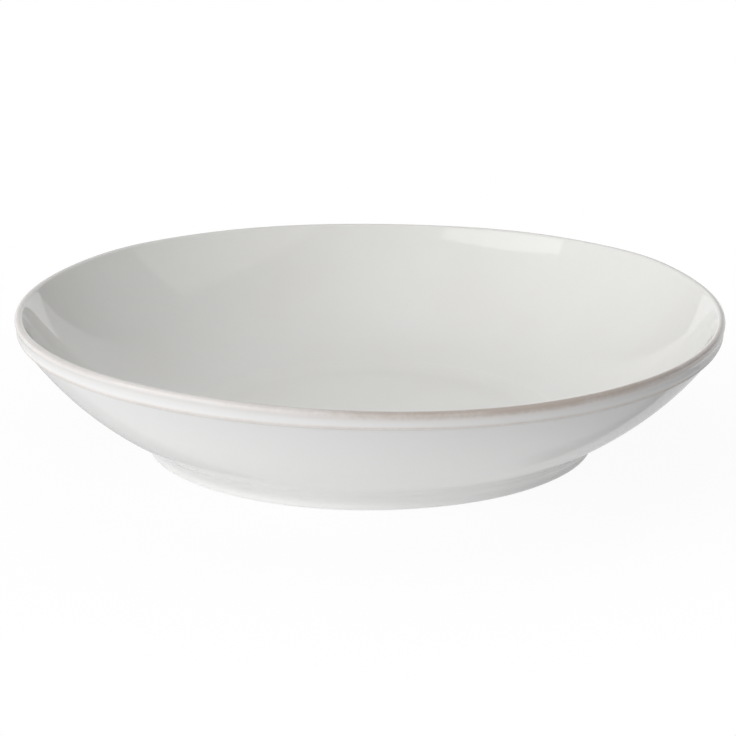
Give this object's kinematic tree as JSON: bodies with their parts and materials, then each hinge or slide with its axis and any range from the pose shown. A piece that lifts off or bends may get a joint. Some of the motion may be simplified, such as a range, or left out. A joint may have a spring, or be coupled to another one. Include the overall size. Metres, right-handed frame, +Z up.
{
  "type": "serving bowl",
  "caption": "Wide shallow round serving bowl in glazed stoneware, with a rounded lip, a fine ridge below the rim, a smooth inside and a low foot ring.",
  "frame": {"origin": "centre of the foot ring's resting face, on the table", "axes": "+Z up along the turning axis; the bowl is round, so X and Y are free, and the picture looks along +Y"},
  "size_m": [0.34, 0.34, 0.0658],
  "materials": {
    "stoneware": "bare fired stoneware, matt",
    "glaze": "glossy off-white glaze, breaking to warm brown on the lip"
  },
  "bodies": {
    "root": {"stoneware_body": "stoneware", "glaze_coat": "glaze", "base_glaze": "glaze"}
  },
  "joints": []
}
